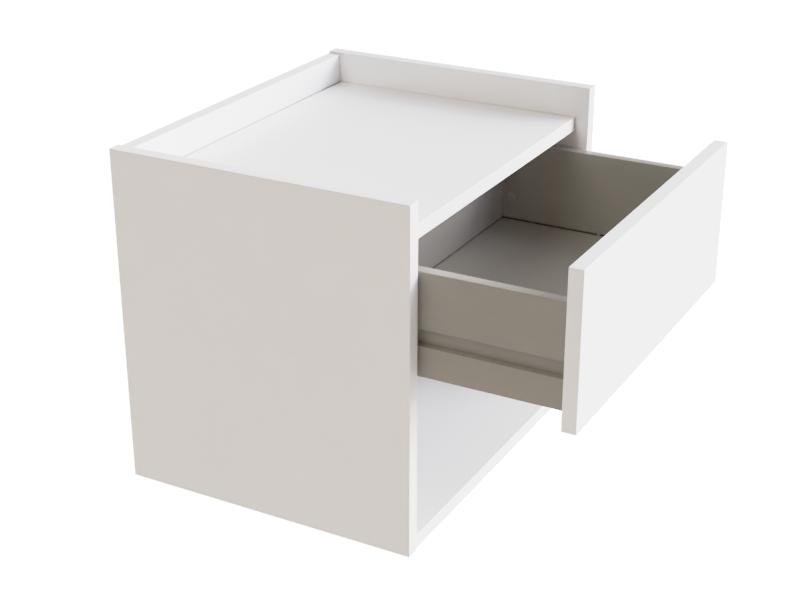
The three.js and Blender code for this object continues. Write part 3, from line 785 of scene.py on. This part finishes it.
# ---------------------------------------------------------------- runners and fittings
def runner(name):
    outline = fillet([
        (-SIDE_IN + 0.3, RUNNER_Z0, 0.4), (-RUNNER_IN, RUNNER_Z0, 1.1), (-RUNNER_IN, RUNNER_Z1, 1.1), (-SIDE_IN + 0.3, RUNNER_Z1, 0.4),
    ], 5)
    o = bar(name, outline, RUNNER_Y0, RUNNER_Y1, "y")
    stop = PIN_Y - 45 - 2.8 - 0.3
    boolean(o, block("tool", -RUNNER_IN - 3.1, -RUNNER_IN + 1, stop, RUNNER_Y1 + 1, GROOVE_MID - 3.6, GROOVE_MID + 3.6))
    for y in RUNNER_SCREWS:
        boolean(o, rod("x", -SIDE_IN - 1, -RUNNER_IN, y, GROOVE_MID, 2.1))
        boolean(o, rod("x", -RUNNER_IN - 5.6, -RUNNER_IN - 3.05, y, GROOVE_MID, (2.0, 3.5), 36))
    return o


pairs(runner, "slide_strip", "runner", ("runner",), "cabinet")


def cross(axis, base, tip, u, v, wide, thick, turn=0.0):
    """Two tapered blades crossing: the recess of a cross-head screw, from base (open end) to tip."""
    tools = []
    for k in range(2):
        bm = bmesh.new()
        t = turn + k * math.pi / 2
        rings = []
        for d, w, h in ((base, wide, thick), (tip, wide * 0.42, thick * 0.72)):
            ring = []
            for p, q in ((-w, -h), (w, -h), (w, h), (-w, h)):
                a = p * math.cos(t) - q * math.sin(t)
                b = p * math.sin(t) + q * math.cos(t)
                ring.append(bm.verts.new({"x": (d, u + a, v + b), "y": (u + a, d, v + b), "z": (u + a, v + b, d)}[axis]))
            rings.append(ring)
        for i in range(4):
            bm.faces.new((rings[0][i], rings[0][(i + 1) % 4], rings[1][(i + 1) % 4], rings[1][i]))
        bm.faces.new(rings[0])
        bm.faces.new(rings[1])
        tools.append(to_object("tool", bm))
    return tools


def screw(name, axis, points, u, v, face, into, head):
    """A turned screw with a cross recess cut from `face` inwards."""
    o = lathe(name, points, axis, u, v, 36)
    step = 0.05 if into > face else -0.05
    for t in cross(axis, face - step, into, u, v, head * 0.62, head * 0.11, math.radians(45)):
        boolean(o, t)
    return o


def threads(a, b, root, crest, pitch):
    """Profile points of a run of thread from a to b (a zigzag of rings)."""
    out = []
    n = max(1, int(abs(b - a) / pitch))
    step = (b - a) / n
    for i in range(n):
        d = a + i * step
        out += [(d, root), (d + step * 0.42, crest), (d + step * 0.58, crest)]
    out.append((b, root))
    return out


for y, at in ((RUNNER_SCREWS[0], "front"), (RUNNER_SCREWS[1], "rear")):
    def make(name, y=y):
        tip, head = -SIDE_IN - 11.2, -RUNNER_IN - 3.4
        pts = [(tip, 0), (tip + 1.4, 0.9), *threads(tip + 1.6, -RUNNER_IN - 6.4, 1.2, 1.7, 1.3), (-RUNNER_IN - 5.6, 1.7), (-RUNNER_IN - 3.75, 2.95), (head, 3.0), (head, 0)]
        return screw(name, "x", pts, y, GROOVE_MID, head, head - 1.7, 3.0)
    pairs(make, f"strip_screw_{at}", f"runner_screw_{at}", ("steel",), "cabinet")

for z, at in ((BACK_SCREW_Z[0], "lower"), (BACK_SCREW_Z[1], "upper")):
    def make(name, z=z):
        head, end = -BOX_OUT + 0.4, -BOX_IN + 0.3 + 16.5
        pts = [(head, 0), (head, 3.15), (head + 0.2, 3.2), (head + 2.1, 1.4), (-BOX_IN + 0.5, 1.4), *threads(-BOX_IN + 1.0, end - 2.4, 1.0, 1.45, 1.4), (end, 0)]
        return screw(name, "x", pts, BACK_SCREW_Y, z, head, head + 1.7, 3.2)
    pairs(make, f"box_screw_{at}", f"drawer_back_screw_{at}", ("steel",), "drawer")

for dx, at in ((-1, "outer"), (1, "inner")):
    def make(name, dx=dx):
        zs = (HANGER_Z0 + HANGER_Z1) / 2
        pts = [(-13.6, 0), (-12.2, 0.9), *threads(-12.0, -3.2, 0.95, 1.4, 1.3), (-2.2, 1.4), (-0.45, 3.12), (-0.3, 3.12), (-0.3, 0)]
        return screw(name, "y", pts, -HANGER_X + dx * HANGER_DX, zs, -0.3, -2.0, 3.1)
    pairs(make, f"plate_screw_{at}", f"hanger_screw_{at}", ("steel",), "cabinet")


def hanger(name):
    x, r = -HANGER_X, 5.0
    x0, x1 = x - 30, x + 30
    outline = fillet([(x0, HANGER_Z0, r), (x1, HANGER_Z0, r), (x1, HANGER_Z1, r), (x0, HANGER_Z1, r)], 10)
    o = bar(name, outline, -2.0, -0.2, "y")
    m = o.modifiers.new("edge", "BEVEL")
    m.width, m.segments, m.limit_method, m.angle_limit = 0.25, 2, "ANGLE", math.radians(60)
    bake_modifiers(o)
    entry, zs = HANG_Z - 12, (HANGER_Z0 + HANGER_Z1) / 2
    slot_w = 2.8
    hole = []
    a0 = math.asin(slot_w / 5.3)
    for k in range(41):                   # the round entry, open at the top where the slot begins
        t = math.pi / 2 + a0 + (2 * math.pi - 2 * a0) * k / 40
        hole.append((x + 5.3 * math.cos(t), entry + 5.3 * math.sin(t)))
    for k in range(17):                   # the round top of the slot
        t = math.pi * k / 16
        hole.append((x + slot_w * math.cos(t), HANG_Z + slot_w * math.sin(t)))
    boolean(o, bar("tool", hole, -5, 2, "y"))
    for d in (-1, 1):
        boolean(o, rod("y", -5, 2, x + d * HANGER_DX, zs, 1.9))
        boolean(o, rod("y", -2.01, -0.19, x + d * HANGER_DX, zs, (1.9, 3.7), 40))
    return o


pairs(hanger, "keyhole_plate", "hanger_plate", ("steel",), "cabinet")


def cabinet_cam(y, under):
    def make(name):
        x, z = -CAM_X, under + 8.0
        face = under + 0.3
        pts = [(under + 12.3, 0), (under + 12.3, 6.7), (under + 11.9, 7.2), (face + 0.5, 7.2), (face + 0.12, 7.05), (face, 6.7),
               (face, 6.1), (face + 0.35, 5.9), (face + 0.35, 0)]
        o = lathe(name, pts, "z", x, y, 56)
        boolean(o, rod("x", x - 1.4, x + 2.6, y, z, 3.7))
        boolean(o, rod("x", x - 9, x - 1, y, z, 2.1))
        for t in cross("z", face + 0.2, face + 2.6, x, y, 3.7, 0.75, 0.0):
            boolean(o, t)
        return o
    return make


for stem, under, label in (("top", 336.5, "top"), ("bottom", 0.0, "bottom")):
    for y, at in zip(CAM_Y, ("front", "rear")):
        pairs(cabinet_cam(y, under), f"{label}_lock_{at}", f"{stem}_cam_{at}", ("zinc",), "cabinet")


def drawer_cam(z):
    def make(name):
        face = -BOX_IN - 0.3
        pts = [(-BOX_IN - 10.2, 0), (-BOX_IN - 10.2, 5.3), (-BOX_IN - 9.8, 5.7), (face - 0.4, 5.7), (face - 0.1, 5.55), (face, 5.3),
               (face, 4.8), (face - 0.3, 4.65), (face - 0.3, 0)]
        o = lathe(name, pts, "x", BOX_CAM_Y, z, 48)
        boolean(o, rod("y", BOX_CAM_Y - 1.4, BOX_CAM_Y + 2, -BOX_MID, z, 3.1))
        boolean(o, rod("y", BOX_CAM_Y - 8, BOX_CAM_Y - 1, -BOX_MID, z, 1.8))
        for t in cross("x", face + 0.1, face - 2.2, BOX_CAM_Y, z, 3.0, 0.6, 0.0):
            boolean(o, t)
        return o
    return make


for z, at in zip(BOX_CAM_Z, ("lower", "upper")):
    pairs(drawer_cam(z), f"front_lock_{at}", f"drawer_cam_{at}", ("zinc",), "drawer")

# ---------------------------------------------------------------- what stays as packed
for node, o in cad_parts.items():
    if o.hide_render:
        continue
    o.data.materials.clear()
    o.data.materials.append(MAT["beech"] if "dowel" in node else MAT["steel"])
    m = o.modifiers.new("weld", "WELD")
    m.merge_threshold = 1e-6
    m = o.modifiers.new("arris", "BEVEL")
    m.width, m.segments, m.limit_method, m.angle_limit = 0.00012, 2, "ANGLE", math.radians(35)
    for p in o.data.polygons:
        p.use_smooth = True
    m = o.modifiers.new("weighted", "WEIGHTED_NORMAL")
    m.mode = "FACE_AREA"

# ---------------------------------------------------------------- camera
AZ, EL = math.radians(-61.460), math.radians(24.002)
back = Vector((math.sin(AZ) * math.cos(EL), -math.cos(AZ) * math.cos(EL), math.sin(EL)))
cam_data = bpy.data.cameras.new("camera")
cam_data.sensor_width = 36.0
cam_data.lens = 69.534
cam_data.clip_start, cam_data.clip_end = 0.05, 100.0
cam = bpy.data.objects.new("camera", cam_data)
cam.location = (-1.427868, -0.995377, 0.898255 + UNDERSIDE)
cam.rotation_mode = "QUATERNION"
cam.rotation_quaternion = (-back).to_track_quat("-Z", "Y")
SCENE.collection.objects.link(cam)
SCENE.camera = cam

# ---------------------------------------------------------------- stage and light
def studio_floor(name, z, pale, glow):
    bm = bmesh.new()
    bmesh.ops.create_grid(bm, x_segments=1, y_segments=1, size=50.0)
    o = to_object(name, bm)
    o.location = (0, 0, z)
    m = Nodes(name)
    m.colour(m.ramp(m.noise(m.mapped((1, 1, 1)), 1.5, 2.0), [(0.3, tint(pale, 0.985)), (0.7, tint(pale, 1.015))]))
    m.set(Roughness=0.9)
    m.bsdf.inputs["Emission Color"].default_value = (1, 1, 1, 1)
    m.bsdf.inputs["Emission Strength"].default_value = glow
    o.data.materials.append(m.mat)
    return o


# The pale floor as it is seen is a bright white sheet that lights nothing; the one under it does the bouncing.
# It lies well below the cabinet, which hangs, so that the underside can be looked at too.
seen = studio_floor("studio_floor", -3.20, (0.90, 0.90, 0.90), 1.1)
seen.visible_diffuse = seen.visible_glossy = seen.visible_transmission = seen.visible_volume_scatter = seen.visible_shadow = False
bounce = studio_floor("studio_floor_bounce", -3.22, (0.685, 0.651, 0.588), 0.0)
bounce.visible_camera = False


def sun(name, az, el, strength, colour, angle):
    data = bpy.data.lights.new(name, "SUN")
    data.energy = strength
    data.color = colour
    data.angle = math.radians(angle)
    o = bpy.data.objects.new(name, data)
    a, e = math.radians(az), math.radians(el)
    to = Vector((math.sin(a) * math.cos(e), -math.cos(a) * math.cos(e), math.sin(e)))
    o.rotation_mode = "QUATERNION"
    o.rotation_quaternion = to.to_track_quat("Z", "Y")
    o.location = to * 3
    SCENE.collection.objects.link(o)
    return o


def lamp(name, az, el, rgb, angle=40):
    """A soft lamp far off, its strength given for red, green and blue."""
    top = max(rgb)
    return sun(name, az, el, top, tuple(c / top for c in rgb), angle)


lamp("softbox_right_low", 40, 8, (1.060, 1.090, 1.215))
lamp("softbox_front_low", 25, 9, (0.575, 0.575, 0.680), 30)
wide = lamp("softbox_right_wide", 55, 8, (1.180, 1.170, 1.090), 60)
lamp("softbox_front", 15, 30, (0.103, 0.128, 0.184))
lamp("softbox_right", 40, 30, (0.404, 0.384, 0.440))
lamp("softbox_left_high", -110, 55, (0.292, 0.275, 0.253))
lamp("softbox_front_high", -30, 45, (0.070, 0.051, 0.036), 60)
lamp("softbox_rear", 120, 25, (0.440, 0.458, 0.508), 90)
lamp("softbox_left_below", -90, -20, (0.117, 0.072, 0.018), 90)

# The wide lamp is flagged off the two boards that face it squarely, so that the right-hand side keeps its modelling.
flagged = bpy.data.collections.new("flagged_from_right_wide")
wide.light_linking.receiver_collection = flagged
for name in ("right_side_board", "drawer_side_wrapped_right"):
    flagged.objects.link(bpy.data.objects[name])
for entry in flagged.collection_objects:
    entry.light_linking.link_state = "EXCLUDE"

world = bpy.data.worlds.new("studio")
world.use_nodes = True
world.node_tree.nodes["Background"].inputs["Color"].default_value = (1.0, 1.0, 1.0, 1)
world.node_tree.nodes["Background"].inputs["Strength"].default_value = 1.2
world.cycles_visibility.diffuse = world.cycles_visibility.glossy = False
SCENE.world = world

# A photographic tone curve: open shadows and a long shoulder, so that the whites keep their drawing.
TONE = [
    (0.0, 0.0), (0.0005, 0.0040), (0.001, 0.0080), (0.002, 0.0168), (0.0039, 0.0296), (0.0078, 0.0513),
    (0.0156, 0.0908), (0.0312, 0.1529), (0.0442, 0.1946), (0.0625, 0.2542), (0.0884, 0.3663), (0.125, 0.5089),
    (0.1768, 0.6308), (0.25, 0.7305), (0.3536, 0.7952), (0.5, 0.8469), (0.7, 0.8796), (0.85, 0.8979),
    (0.95, 0.9216), (1, 1.0000),
]
view = SCENE.view_settings
view.view_transform = "Standard"
view.look = "None"
view.exposure = 0.0
view.gamma = 1.0
view.use_curve_mapping = True
tone = view.curve_mapping
tone.use_clip = False
points = tone.curves[3].points
for x, y in TONE[1:-1]:
    points.new(x, y)
for p in points:
    p.handle_type = "VECTOR"
tone.update()
